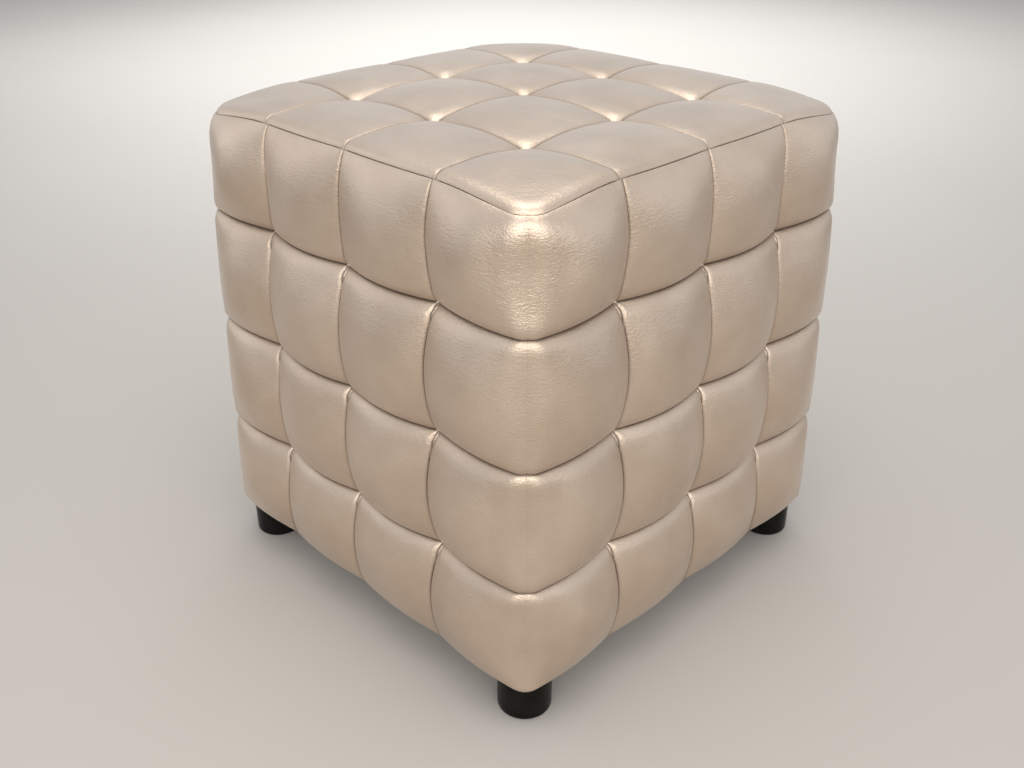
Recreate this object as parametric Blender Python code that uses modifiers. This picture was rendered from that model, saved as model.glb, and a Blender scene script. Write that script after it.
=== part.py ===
"""Tufted cube ottoman: a wooden box on four round feet, padded with foam and wadding, and covered in
leatherette that is tufted four cells by four on the top and on each side.

Metres, +Z up. The origin is on the floor under the middle. The front faces -Y.
"""

import math
from collections import namedtuple

import bmesh
import bpy
from mathutils import Matrix, Vector

# Driving dimensions.
WIDTH = 0.395  # between the upright corner edges of the cover, half way up
SIDE_SLOPE = 0.020  # how far a side leans in for each metre up it
TOP_ROW_INSET = 0.0030  # how far in the top row of cells stands, beyond that slope
SHOULDER_INSET = 0.0042  # how far a side rolls in to the seam round its top
SHOULDER_HEIGHT = 0.024  # of that roll
CORNER_RADIUS = 0.017  # of the cover's upright corners, seen from above
CORNER_DIP = 0.0105  # how far the seam would drop at a sharp corner of the top
CORNER_DIP_REACH = 0.065  # from a corner to where the seam starts to drop
FOOT_HEIGHT = 0.0366
FOOT_RADIUS = 0.0222
FOOT_REACH = 0.1745  # from the middle to a foot's axis, along X and along Y
COVER_BOTTOM = 0.0378
TUFT_PITCH = 0.100
TUFT_ROWS = (0.0946, 0.1032, 0.1032, 0.0900)  # heights of a side's four rows of cells, bottom row first
SEAM_HEIGHT = COVER_BOTTOM + sum(TUFT_ROWS)  # middle of the welt round the top edge

# Layers, each measured inwards from the cover's outer face.
GAP = 0.0003
COVER_THICKNESS = 0.0012
WADDING_THICKNESS = 0.0030
COVER_INNER = COVER_THICKNESS
WADDING_OUTER = COVER_INNER + GAP
WADDING_INNER = WADDING_OUTER + WADDING_THICKNESS
FOAM_OUTER = WADDING_INNER + GAP
CARCASS_DEPTH = 0.0165  # from the cover's nominal side plane to the carcass
TOP_PAD_DEPTH = 0.030  # from the seam down to the top board

# Relief of the tufting.
Tufting = namedtuple("Tufting", "depth crown notch crease_rise pillow_rise corner_power")
SIDE_TUFTING = Tufting(
    depth=0.0098,  # of a tuft under the nominal plane, but for the crown
    crown=0.0104,
    notch=0.0016,  # where a crease ends at the edge; the edge swells as far between them
    crease_rise=0.0085,  # at the middle of a crease, over the tufts at its ends
    pillow_rise=0.0035,  # at the middle of a pillow, over the creases round it
    corner_power=1.3,  # of the arch that starts at an upright corner
)
TOP_TUFTING = Tufting(
    depth=0.0068,
    crown=0.0098,
    notch=0.0,
    crease_rise=0.0040,
    pillow_rise=0.0030,
    corner_power=0.8,
)
ARCH_POWER = 0.8

# Cover edges.
WELT_RADIUS = 0.0015
TURN_RADIUS = 0.005
HEM_WIDTH = 0.040
SEAM_ALLOWANCE = 0.001  # of a side's wadding under the top of its cover
TIGHT_RADIUS = 0.001  # least radius of a layer that comes in under the base
MITRE_GAP = 0.0002
PAD_MARGIN = 0.0030  # left round the top's foam and wadding, for the swell of the side's wadding
SHOULDER_STATIONS = (0.0, 0.6, 0.9)  # shares of the shoulder's height at which a side layer bends
FINE_STEPS = 4  # divisions of a cell in the cover
COARSE_STEPS = 2  # and in the padding

# Carcass.
BOARD = 0.012
SIDE_BOARD = 0.009
POST = 0.030
TUFT_HOLE_RADIUS = 0.0022
TWINE_RADIUS = 0.0006
TWINE_SPREAD = 0.0008  # of its two strands in a hole, each to one side of the middle
HOLE_SIDES = 6
CARCASS_RADIUS = 0.006
CORNER_STEPS = 2  # flats round a carcass corner, which match those of the foam over it

# Fasteners.
STUD_RADIUS = 0.004
STUD_IN_FOOT = 0.015
STUD_IN_POST = 0.034
INSERT_RADIUS = 0.0060
INSERT_LENGTH = 0.016
SCREW_RADIUS = 0.00175
SCREW_HEAD_RADIUS = 0.0036
SCREW_HEAD_HEIGHT = 0.0022
SCREW_LENGTH = 0.036
FOOT_SIDES = 24
FASTENER_SIDES = 12
SCREW_SIDES = 10
DUST_COVER_THICKNESS = 0.0005
DUST_COVER_HALF = 0.185
WELD = 0.00002
WELL = 0.001  # how far a cutter runs past what it cuts

HALF = WIDTH / 2
CARCASS = HALF - CARCASS_DEPTH
BASE_BOTTOM = COVER_BOTTOM + COVER_THICKNESS + GAP
BASE_TOP = BASE_BOTTOM + BOARD
TOP_BOARD_TOP = SEAM_HEIGHT - TOP_PAD_DEPTH
TOP_BOARD_BOTTOM = TOP_BOARD_TOP - BOARD
POST_CENTRE = CARCASS - POST / 2
DRILL_LOW = CARCASS - 2 * SIDE_BOARD
PAD_BOTTOM = COVER_BOTTOM + TURN_RADIUS + GAP
SIDE_COVER_TOP = SEAM_HEIGHT - WELT_RADIUS - GAP
WADDING_TOP = SIDE_COVER_TOP - SEAM_ALLOWANCE
TOP_COVER_EDGE = SEAM_HEIGHT + WELT_RADIUS + GAP + COVER_THICKNESS
COLUMN_LINES = (-HALF, -TUFT_PITCH, 0.0, TUFT_PITCH, HALF)
MIDDLE_HEIGHT = (COVER_BOTTOM + SEAM_HEIGHT) / 2
SHOULDER_LOW = SEAM_HEIGHT - SHOULDER_HEIGHT
TUFT_COLUMNS = (-TUFT_PITCH, 0.0, TUFT_PITCH)
FACES = {"front": 0, "right": 90, "back": 180, "left": 270}  # turn about Z from the front, in degrees
CORNERS = {
    "front_left": (-1, -1),
    "front_right": (1, -1),
    "back_left": (-1, 1),
    "back_right": (1, 1),
}


def row_lines():
    """Heights of the five lines that bound a side's four rows, bottom first."""
    heights = [COVER_BOTTOM]
    for row in TUFT_ROWS:
        heights.append(heights[-1] + row)
    return tuple(heights)


ROW_LINES = row_lines()
TUFT_HEIGHTS = ROW_LINES[1:4]

MATERIALS = {
    "leatherette": ((0.56, 0.44, 0.35), 0.36, 0.35),
    "welt_leatherette": ((0.60, 0.48, 0.39), 0.38, 0.30),
    "wadding": ((0.86, 0.86, 0.84), 0.95, 0.0),
    "foam": ((0.85, 0.80, 0.62), 0.90, 0.0),
    "plywood": ((0.60, 0.44, 0.27), 0.65, 0.0),
    "pine": ((0.70, 0.53, 0.33), 0.60, 0.0),
    "twine": ((0.78, 0.74, 0.66), 0.85, 0.0),
    "black_plastic": ((0.014, 0.012, 0.010), 0.32, 0.0),
    "steel": ((0.60, 0.60, 0.58), 0.35, 1.0),
    "dust_cloth": ((0.03, 0.03, 0.03), 0.95, 0.0),
}


def clear_scene():
    for obj in list(bpy.data.objects):
        bpy.data.objects.remove(obj, do_unlink=True)


def make_collection(name):
    collection = bpy.data.collections.new(name)
    bpy.context.scene.collection.children.link(collection)
    return collection


def make_material(name):
    colour, roughness, metallic = MATERIALS[name]
    material = bpy.data.materials.new(name)
    material.use_nodes = True
    shader = material.node_tree.nodes["Principled BSDF"]
    shader.inputs["Base Color"].default_value = (*colour, 1.0)
    shader.inputs["Roughness"].default_value = roughness
    shader.inputs["Metallic"].default_value = metallic
    material.diffuse_color = (*colour, 1.0)
    return material


def add_part(name, mesh, material):
    """A part's object, standing in the collection of parts and held by the assembly's empty."""
    mesh.materials.clear()
    mesh.materials.append(materials[material])
    obj = bpy.data.objects.new(name, mesh)
    parts.objects.link(obj)
    obj.parent = assembly
    return obj


def add_cutter(name, mesh):
    obj = bpy.data.objects.new(name, mesh)
    cutters.objects.link(obj)
    obj.hide_render = True
    obj.display_type = "WIRE"
    return obj


def cut(obj, cutter):
    modifier = obj.modifiers.new("cut by " + cutter.name, "BOOLEAN")
    modifier.operation = "DIFFERENCE"
    modifier.solver = "EXACT"
    modifier.object = cutter


def mesh_from(name, form):
    """Turns a bmesh into a mesh, with its faces pointing out."""
    bmesh.ops.recalc_face_normals(form, faces=form.faces)
    mesh = bpy.data.meshes.new(name)
    form.to_mesh(mesh)
    form.free()
    return mesh


def shade_round(mesh, angle=math.radians(35)):
    mesh.shade_smooth()
    mesh.set_sharp_from_angle(angle=angle)


# Relief of the tufted surfaces.


def arch(share, power=ARCH_POWER):
    """0 at both ends of a crease and 1 at its middle. The lower the power, the steeper its ends."""
    return max(math.sin(math.pi * share), 0.0) ** power


def along_line(lines, place):
    """Which cell of a row of cells a place is in, and how far across that cell it is."""
    for cell in range(len(lines) - 1):
        if place <= lines[cell + 1] or cell == len(lines) - 2:
            width = lines[cell + 1] - lines[cell]
            return cell, min(max((place - lines[cell]) / width, 0.0), 1.0)
    return 0, 0.0


def node_level(column, row, form):
    """Height of a crease crossing over the face's nominal plane. Edge nodes are small notches."""
    if column in (0, 4) or row in (0, 4):
        return -form.notch
    return form.crown * math.sin(math.pi * column / 4) * math.sin(math.pi * row / 4) - form.depth


def relief(column, row, across, up, form):
    """Height of the cover over the nominal plane inside one cell: a patch between its four creases,
    with the pillow's own rise added."""
    nodes = [[node_level(column + i, row + j, form) for j in (0, 1)] for i in (0, 1)]
    by_corner = (column == 0 and across < 0.5) or (column == 3 and across > 0.5)
    arch_across = arch(across, form.corner_power if by_corner else ARCH_POWER)
    arch_up = arch(up)

    def crease(first, last, share, arched, on_edge):
        rise = 2 * form.notch if on_edge else form.crease_rise
        return first * (1 - share) + last * share + rise * arched

    low = crease(nodes[0][0], nodes[1][0], across, arch_across, row == 0)
    high = crease(nodes[0][1], nodes[1][1], across, arch_across, row == 3)
    near = crease(nodes[0][0], nodes[0][1], up, arch_up, column == 0)
    far = crease(nodes[1][0], nodes[1][1], up, arch_up, column == 3)
    flat = (nodes[0][0] * (1 - across) + nodes[1][0] * across) * (1 - up)
    flat += (nodes[0][1] * (1 - across) + nodes[1][1] * across) * up
    patch = low * (1 - up) + high * up + near * (1 - across) + far * across - flat
    return patch + form.pillow_rise * arch_across * arch_up


def side_relief(across, height):
    """Height of a side's cover over its nominal plane."""
    column, part_across = along_line(COLUMN_LINES, across)
    row, part_up = along_line(ROW_LINES, height)
    return relief(column, row, part_across, part_up, SIDE_TUFTING)


def top_relief(x, y, half):
    """Height over its edge of a top layer of that half width. The cover's edge lies on the welt."""
    lines = (-half, -TUFT_PITCH, 0.0, TUFT_PITCH, half)
    column, part_across = along_line(lines, x)
    row, part_up = along_line(lines, y)
    return relief(column, row, part_across, part_up, TOP_TUFTING)


# Where a layer's points lie.


def lean(height):
    """How far out a side stands from its nominal plane. It leans in all the way up, its top row stands in
    a little more, and near its top it rolls in to the seam."""
    row_share = min(max(2 * (height - ROW_LINES[3]) / TUFT_ROWS[3], 0.0), 1.0)
    shoulder_share = min(max((height - SHOULDER_LOW) / SHOULDER_HEIGHT, 0.0), 1.0)
    out = SIDE_SLOPE * (MIDDLE_HEIGHT - height)
    out -= TOP_ROW_INSET * (1 - (1 - row_share) ** 2)
    return out - SHOULDER_INSET * (1 - math.sqrt(1 - shoulder_share**2))


SEAM_HALF = HALF + lean(SEAM_HEIGHT)


def corner_dip(x, y):
    """How far the top edge drops at a place near one of its corners."""
    shares = [max((abs(u) - SEAM_HALF) / CORNER_DIP_REACH + 1, 0.0) ** 2 for u in (x, y)]
    return CORNER_DIP * shares[0] * shares[1]


def wrap(across, half, radius):
    """The point on the front at a place across it, for a square of that half width and corner radius.
    The ends of a side go half way round the upright corners."""
    centre = half - radius
    flat = HALF - CORNER_RADIUS
    if abs(across) <= flat:
        return across * (1 - (1 - centre / flat) * abs(across) / flat), -half
    angle = math.radians(45) * (abs(across) - flat) / CORNER_RADIUS
    x = math.copysign(centre + radius * math.sin(angle), across)
    return x, -(centre + radius * math.cos(angle))


def round_corner(x, y, inner):
    """A point of a square, moved in where it lies outside the square's round corner. The inner square
    holds the middles of the four rounds."""
    corner = Vector((max(abs(x) - inner, 0.0), max(abs(y) - inner, 0.0)))
    if min(corner) > 0:
        corner *= max(corner) / corner.length
        return math.copysign(inner + corner.x, x), math.copysign(inner + corner.y, y)
    return x, y


def divided(lines, steps):
    """Places that divide each gap between lines into equal steps."""
    places = [lines[0]]
    for start, end in zip(lines, lines[1:]):
        for step in range(1, steps + 1):
            places.append(start + (end - start) * step / steps)
    return places


def column_places(half, radius):
    """Four places a cell. In a corner cell two of them go to the round corner."""
    flat = half - radius
    arc = (-half, -(half + flat) / 2, -flat, -(flat + TUFT_PITCH) / 2)
    inside = divided((-TUFT_PITCH, 0.0, TUFT_PITCH), FINE_STEPS)
    return [*arc, *inside, *(-place for place in reversed(arc))]


def closed_layer(name, across, up, inner, outer):
    """A closed layer: a flat grid, extruded once, with its two sides shaped by inner(column, row) and
    outer(column, row)."""
    form = bmesh.new()
    bmesh.ops.create_grid(form, x_segments=across, y_segments=up, size=1.0)
    bmesh.ops.triangulate(form, faces=form.faces, quad_method="FIXED")
    sheet = list(form.verts)
    grown = bmesh.ops.extrude_face_region(form, geom=form.faces[:])["geom"]
    lifted = [item for item in grown if isinstance(item, bmesh.types.BMVert)]
    for verts, place in ((sheet, inner), (lifted, outer)):
        for vert in verts:
            column = round((vert.co.x + 1) / 2 * across)
            row = round((vert.co.y + 1) / 2 * up)
            vert.co = place(column, row)
    return mesh_from(name, form)


def side_stations(low, high, steps, hem):
    """The stations up a side layer, bottom first: out, height, the outward direction as (out, up), and
    how much of the relief it takes. A hem comes in under the base and turns up round the edge."""
    stations = []
    if hem:
        stations.append((-HEM_WIDTH, COVER_BOTTOM, 0.0, -1.0, 0.0))
        for turn in (0, 45, 90):
            out, up = math.sin(math.radians(turn)), math.cos(math.radians(turn))
            height = COVER_BOTTOM + TURN_RADIUS * (1 - up)
            stations.append((TURN_RADIUS * (out - 1), height, out, -up, out))
        low = COVER_BOTTOM + TURN_RADIUS + 0.001
    else:
        stations.append((0.0, low, 1.0, 0.0, 1.0))
    shoulder = (SHOULDER_LOW + share * SHOULDER_HEIGHT for share in SHOULDER_STATIONS)
    rows = sorted([*divided(ROW_LINES, steps), TOP_BOARD_TOP, *shoulder])
    rows = [height for height in rows if low < height < high]
    return stations + [(0.0, height, 1.0, 0.0, 1.0) for height in [*rows, high]]


def side_layer(name, steps, depth_out, depth_in, low, high, hem=False):
    """The front's layer between two depths under the cover's outer face. A depth_in of None lays the
    inner face flat on the carcass."""
    columns = column_places(HALF, CORNER_RADIUS)[:: FINE_STEPS // steps]
    stations = side_stations(low, high, steps, hem)
    last = len(columns) - 1

    def place(column, row, depth):
        out, height, normal_out, normal_up, share = stations[row]
        across = columns[column]
        top_share = max((height - ROW_LINES[3]) / (SIDE_COVER_TOP - ROW_LINES[3]), 0.0)
        dip = top_share**2 * corner_dip(*wrap(across, SEAM_HALF, CORNER_RADIUS))
        if depth is None:
            x, y = wrap(across, CARCASS + GAP, CARCASS_RADIUS + GAP)
        else:
            out += (share * side_relief(across, height) - depth) * normal_out
            half = HALF + lean(height) + out
            x, y = wrap(across, half, max(CORNER_RADIUS + out, TIGHT_RADIUS))
            height -= depth * normal_up
        if column in (0, last):
            x -= math.copysign(MITRE_GAP, x)
        return x, y, height - dip

    return closed_layer(
        name,
        last,
        len(stations) - 1,
        lambda column, row: place(column, row, depth_in),
        lambda column, row: place(column, row, depth_out),
    )


def top_layer(name, steps, half, depth_out, depth_in, spread=0.0):
    """The top's layer between two depths under the cover's outer face, cut to a square of that half
    width. A depth_in of None lays the underside flat on the top board, wider all round by the spread."""
    radius = half - (SEAM_HALF - CORNER_RADIUS)
    places = column_places(half, radius)[:: FINE_STEPS // steps]
    last = len(places) - 1

    def place(column, row, depth):
        x, y = places[column], places[row]
        height = TOP_COVER_EDGE + top_relief(x, y, half)
        x, y = round_corner(x, y, half - radius)
        if depth is None:
            wider = 1 + spread / half
            return x * wider, y * wider, TOP_BOARD_TOP + GAP
        return x, y, height - depth - corner_dip(x, y)

    return closed_layer(
        name,
        last,
        last,
        lambda column, row: place(column, row, depth_in),
        lambda column, row: place(column, row, depth_out),
    )


# Simple solids.


def board_mesh(name, size, centre, corner_radius=0.0):
    """A board of (x, y, z) size, with its upright corners rounded where a radius is given."""
    form = bmesh.new()
    bmesh.ops.create_cube(form, size=1.0)
    bmesh.ops.transform(form, matrix=Matrix.Diagonal((*size, 1.0)), verts=form.verts)
    if corner_radius:
        upright = [e for e in form.edges if abs(e.verts[0].co.z - e.verts[1].co.z) > size[2] / 2]
        bmesh.ops.bevel(
            form,
            geom=upright,
            offset=corner_radius,
            segments=CORNER_STEPS,
            affect="EDGES",
            profile=0.5,
        )
    bmesh.ops.translate(form, vec=centre, verts=form.verts)
    return mesh_from(name, form)


def cylinder_mesh(name, radius, low, high, places, sides=12):
    """Upright cylinders from low to high, one at each (x, y) place."""
    form = bmesh.new()
    for x, y in places:
        bmesh.ops.create_cone(
            form,
            cap_ends=True,
            segments=sides,
            radius1=radius,
            radius2=radius,
            depth=high - low,
            matrix=Matrix.Translation((x, y, (low + high) / 2)),
        )
    return mesh_from(name, form)


def turned_mesh(name, profile, sides):
    """A solid of revolution about Z: (radius, height) points from the top of its axis down to the
    bottom of its axis, turned by a Screw modifier that is then made real."""
    form = bmesh.new()
    verts = [form.verts.new((radius, 0.0, height)) for radius, height in profile]
    for upper, lower in zip(verts, verts[1:]):
        form.edges.new((upper, lower))
    outline = bpy.data.meshes.new(name + "_outline")
    form.to_mesh(outline)
    form.free()
    obj = bpy.data.objects.new(name + "_outline", outline)
    parts.objects.link(obj)
    screw = obj.modifiers.new("turn", "SCREW")
    screw.steps = screw.render_steps = sides
    screw.use_merge_vertices = True
    screw.merge_threshold = WELD
    solid = made_real(obj, name)
    shade_round(solid)
    return solid


def made_real(obj, name):
    """The mesh of an object as its modifiers or its bevel leave it, welded and facing out. The object
    is removed."""
    graph = bpy.context.evaluated_depsgraph_get()
    graph.update()
    mesh = bpy.data.meshes.new_from_object(obj.evaluated_get(graph))
    mesh.name = name
    mesh.transform(obj.matrix_world)
    bpy.data.objects.remove(obj, do_unlink=True)
    form = bmesh.new()
    form.from_mesh(mesh)
    bmesh.ops.remove_doubles(form, verts=form.verts, dist=WELD)
    bmesh.ops.recalc_face_normals(form, faces=form.faces)
    form.to_mesh(mesh)
    form.free()
    return mesh


def tube_mesh(name, points, radius, resolution, cyclic=False):
    """A round tube along straight runs between points."""
    data = bpy.data.curves.new(name + "_path", "CURVE")
    data.dimensions = "3D"
    data.bevel_depth = radius
    data.bevel_resolution = resolution
    data.use_fill_caps = not cyclic
    spline = data.splines.new("POLY")
    spline.points.add(len(points) - 1)
    for point, place in zip(spline.points, points):
        point.co = (*place, 1.0)
    spline.use_cyclic_u = cyclic
    obj = bpy.data.objects.new(name + "_path", data)
    parts.objects.link(obj)
    return made_real(obj, name)


def turned_to(mesh, angle):
    """A copy of a front mesh, turned about Z to another side."""
    copy = mesh.copy()
    copy.transform(Matrix.Rotation(math.radians(angle), 4, "Z"))
    return copy


# The covering and the padding.


def add_covers(stud_cutter):
    """The top panel and the four side panels. Each side panel has a hem that is turned under the base,
    with the hanger bolts passing through its mitred ends."""
    top = top_layer("top_cover", FINE_STEPS, SEAM_HALF, 0.0, COVER_INNER)
    shade_round(top)
    add_part("top_cover", top, "leatherette")
    side = side_layer("side_cover", FINE_STEPS, 0.0, COVER_INNER, None, SIDE_COVER_TOP, hem=True)
    shade_round(side)
    for face, angle in FACES.items():
        cover = add_part(face + "_cover", turned_to(side, angle), "leatherette")
        cut(cover, stud_cutter)


def add_welt():
    """The thin round welt sewn in between the top panel and the side panels."""
    points = []
    for angle in FACES.values():
        turn = Matrix.Rotation(math.radians(angle), 3, "Z")
        for across in column_places(HALF, CORNER_RADIUS)[:-1]:
            x, y = wrap(across, SEAM_HALF, CORNER_RADIUS)
            points.append(turn @ Vector((x, y, SEAM_HEIGHT - corner_dip(x, y))))
    mesh = tube_mesh("top_welt", points, WELT_RADIUS, 2, cyclic=True)
    shade_round(mesh)
    add_part("top_welt", mesh, "welt_leatherette")


def add_padding(drills):
    """Wadding and foam under each panel, with the tufting twine's holes through them."""
    wadding = side_layer(
        "side_wadding",
        COARSE_STEPS,
        WADDING_OUTER,
        WADDING_INNER,
        PAD_BOTTOM,
        WADDING_TOP,
    )
    foam = side_layer("side_foam", COARSE_STEPS, FOAM_OUTER, None, PAD_BOTTOM, TOP_BOARD_TOP)
    for face, angle in FACES.items():
        cut(add_part(face + "_wadding", turned_to(wadding, angle), "wadding"), drills[face])
        cut(add_part(face + "_foam", turned_to(foam, angle), "foam"), drills[face])
    half = SEAM_HALF - FOAM_OUTER - PAD_MARGIN
    spread = HALF + lean(TOP_BOARD_TOP) - FOAM_OUTER - PAD_MARGIN - half
    wadding = top_layer("top_wadding", COARSE_STEPS, half, WADDING_OUTER, WADDING_INNER)
    foam = top_layer("top_foam", COARSE_STEPS, half, FOAM_OUTER, None, spread)
    cut(add_part("top_wadding", wadding, "wadding"), drills["top"])
    cut(add_part("top_foam", foam, "foam"), drills["top"])


# The tufting: holes through boards and padding, and the twine laced through them.


def side_tufts():
    """(across, height, level) of the front's nine tufts."""
    return [
        (across, height, lean(height) + node_level(column, row, SIDE_TUFTING))
        for row, height in enumerate(TUFT_HEIGHTS, 1)
        for column, across in enumerate(TUFT_COLUMNS, 1)
    ]


def top_tufts():
    """(x, y, level) of the top's nine tufts."""
    return [
        (x, y, node_level(column, row, TOP_TUFTING))
        for row, y in enumerate(TUFT_COLUMNS, 1)
        for column, x in enumerate(TUFT_COLUMNS, 1)
    ]


def lying_forward(mesh):
    """Turns a mesh that was made with its depth upright, so that its depth faces the front."""
    mesh.transform(Matrix.Rotation(math.radians(90), 4, "X"))
    return mesh


def add_drills():
    """The twine's holes through board and padding: a cutter for each side and one for the top."""
    places = [(across, height) for across, height, _ in side_tufts()]
    high = HALF + SIDE_TUFTING.crown
    side = cylinder_mesh("drill", TUFT_HOLE_RADIUS, DRILL_LOW, high, places, HOLE_SIDES)
    side = lying_forward(side)
    drills = {}
    for face, angle in FACES.items():
        drills[face] = add_cutter(face + "_drill", turned_to(side, angle))
    places = [(x, y) for x, y, _ in top_tufts()]
    low, high = TOP_BOARD_BOTTOM - WELL, TOP_COVER_EDGE + TOP_TUFTING.crown
    top = cylinder_mesh("top_drill", TUFT_HOLE_RADIUS, low, high, places, HOLE_SIDES)
    drills["top"] = add_cutter("top_drill", top)
    return drills


def lacing(tufts, run, tip):
    """One continuous twine. Behind the board it runs to and fro along the rows of tufts, and at each
    hole it goes up to the cover and comes back down beside itself. Depth is along Z."""
    route = []
    for row, start in enumerate((0, 3, 6)):
        side = -1 if row % 2 else 1
        for x, y, level in tufts[start : start + 3][::side]:
            for step, height in ((-side, run), (-side, tip + level), (side, tip + level), (side, run)):
                route.append((x + step * TWINE_SPREAD, y, height))
    return tube_mesh("lacing", route, TWINE_RADIUS, 0)


def add_twines():
    run = CARCASS - SIDE_BOARD - GAP - TWINE_RADIUS
    tip = HALF - COVER_INNER - GAP - TWINE_RADIUS
    side = lying_forward(lacing(side_tufts(), run, tip))
    for face, angle in FACES.items():
        add_part(face + "_tufting_twine", turned_to(side, angle), "twine")
    run = TOP_BOARD_BOTTOM - GAP - TWINE_RADIUS
    tip = TOP_COVER_EDGE - COVER_INNER - GAP - TWINE_RADIUS
    add_part("top_tufting_twine", lacing(top_tufts(), run, tip), "twine")


# The carcass, the feet and the fasteners.


def at_corners(reach):
    return {name: (x * reach, y * reach) for name, (x, y) in CORNERS.items()}


def at_sides(reach):
    """The (x, y) place at the middle of each side, that far from the axis."""
    return {
        face: (reach * math.sin(math.radians(angle)), -reach * math.cos(math.radians(angle)))
        for face, angle in FACES.items()
    }


def screw_profile(clearance, length):
    """A countersunk screw, its head's flat face at height 0 and its point down."""
    shank = SCREW_RADIUS + clearance
    head = SCREW_HEAD_RADIUS + clearance
    return [
        (0.0, clearance),
        (head, clearance),
        (head, -clearance),
        (shank, -SCREW_HEAD_HEIGHT - clearance),
        (shank, SCREW_RADIUS - length),
        (0.0, -length - clearance),
    ]


def screws_at(name, places, height, upward):
    """The screws at named places, and one cutter that makes room for all of them."""
    turn = Matrix.Rotation(math.pi, 4, "X") if upward else Matrix.Identity(4)
    screw = turned_mesh(name, screw_profile(0.0, SCREW_LENGTH), SCREW_SIDES)
    room = turned_mesh(name + "_room", screw_profile(GAP, SCREW_LENGTH), SCREW_SIDES)
    screw.transform(turn)
    room.transform(turn)
    form = bmesh.new()
    for key, (x, y) in places.items():
        obj = add_part(name + "_" + key, screw.copy(), "steel")
        obj.location = (x, y, height)
        hole = room.copy()
        hole.transform(Matrix.Translation((x, y, height)))
        form.from_mesh(hole)
    return add_cutter(name + "_holes", mesh_from(name + "_holes", form))


def add_carcass(drills, stud_cutter):
    """Two boards, four side boards and four corner posts."""
    top_screws = screws_at("top_screw", at_corners(POST_CENTRE), TOP_BOARD_TOP, upward=False)
    edge = CARCASS - SIDE_BOARD / 2
    base_screws = screws_at("base_screw", at_sides(edge), BASE_BOTTOM, upward=True)
    plate = (2 * CARCASS, 2 * CARCASS, BOARD)

    centre = (0.0, 0.0, TOP_BOARD_BOTTOM + BOARD / 2)
    mesh = board_mesh("top_board", plate, centre, CARCASS_RADIUS)
    top_board = add_part("top_board", mesh, "plywood")
    cut(top_board, drills["top"])
    cut(top_board, top_screws)

    centre = (0.0, 0.0, BASE_BOTTOM + BOARD / 2)
    mesh = board_mesh("base_board", plate, centre, CARCASS_RADIUS)
    base_board = add_part("base_board", mesh, "plywood")
    cut(base_board, stud_cutter)
    cut(base_board, base_screws)

    low, high = BASE_TOP + GAP, TOP_BOARD_BOTTOM - GAP
    middle = (low + high) / 2
    size = (2 * (CARCASS - POST - GAP), SIDE_BOARD, high - low)
    side = board_mesh("side_board", size, (0.0, -edge, middle))
    for face, angle in FACES.items():
        board = add_part(face + "_board", turned_to(side, angle), "plywood")
        cut(board, drills[face])
        cut(board, base_screws)

    for key, (x, y) in at_corners(POST_CENTRE).items():
        mesh = board_mesh("corner_post", (POST, POST, high - low), (x, y, middle), 0.0)
        ease_outer_edge(mesh, x, y)
        post = add_part("corner_post_" + key, mesh, "pine")
        cut(post, stud_cutter)
        cut(post, top_screws)


def ease_outer_edge(mesh, x, y):
    """Rounds the one upright edge of a corner post that faces away from the middle."""
    form = bmesh.new()
    form.from_mesh(mesh)
    reach = math.hypot(x, y)
    outer = [e for e in form.edges if all(v.co.xy.length > reach + POST / 2 for v in e.verts)]
    bmesh.ops.bevel(
        form,
        geom=outer,
        offset=CARCASS_RADIUS,
        segments=CORNER_STEPS,
        affect="EDGES",
        profile=0.5,
    )
    form.to_mesh(mesh)
    form.free()


def foot_profile():
    """A foot's outline with its insert's socket, from the socket's floor out and down to the ground."""
    rounding = 0.003
    socket = FOOT_HEIGHT - INSERT_LENGTH - GAP
    bottom = [
        (
            FOOT_RADIUS - rounding * (1 - math.cos(math.radians(turn))),
            rounding * (1 - math.sin(math.radians(turn))),
        )
        for turn in (0, 45, 90)
    ]
    return [
        (0.0, socket),
        (INSERT_RADIUS + GAP, socket),
        (INSERT_RADIUS + GAP, FOOT_HEIGHT),
        (FOOT_RADIUS, FOOT_HEIGHT),
        *bottom,
        (0.0, 0.0),
    ]


def insert_mesh():
    """The threaded sleeve moulded into a foot: a tube, which the hanger bolt screws into."""
    low, high = FOOT_HEIGHT - INSERT_LENGTH, FOOT_HEIGHT
    bore_radius = STUD_RADIUS + GAP
    axis = [(0.0, 0.0)]
    sleeve = cylinder_mesh("sleeve", INSERT_RADIUS, low, high, axis, FASTENER_SIDES)
    bore = cylinder_mesh("bore", bore_radius, low - WELL, high + WELL, axis, FASTENER_SIDES)
    obj = bpy.data.objects.new("sleeve", sleeve)
    parts.objects.link(obj)
    cutter = add_cutter("insert_bore", bore)
    cut(obj, cutter)
    mesh = made_real(obj, "foot_insert")
    bpy.data.objects.remove(cutter, do_unlink=True)
    return mesh


def stud_profile():
    """An M8 hanger bolt, chamfered at its lower end and pointed at its upper, wood-thread end."""
    bottom = FOOT_HEIGHT - STUD_IN_FOOT
    top = BASE_TOP + STUD_IN_POST
    chamfer = 0.001
    return [
        (0.0, top),
        (STUD_RADIUS, top - 2 * STUD_RADIUS),
        (STUD_RADIUS, bottom + chamfer),
        (STUD_RADIUS - chamfer, bottom),
        (0.0, bottom),
    ]


def add_feet():
    foot = turned_mesh("foot", foot_profile(), FOOT_SIDES)
    insert = insert_mesh()
    stud = turned_mesh("hanger_bolt", stud_profile(), FASTENER_SIDES)
    for key, (x, y) in at_corners(FOOT_REACH).items():
        for name, mesh, material in (
            ("foot_", foot, "black_plastic"),
            ("foot_insert_", insert, "steel"),
            ("hanger_bolt_", stud, "steel"),
        ):
            obj = add_part(name + key, mesh.copy(), material)
            obj.location = (x, y, 0.0)


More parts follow.
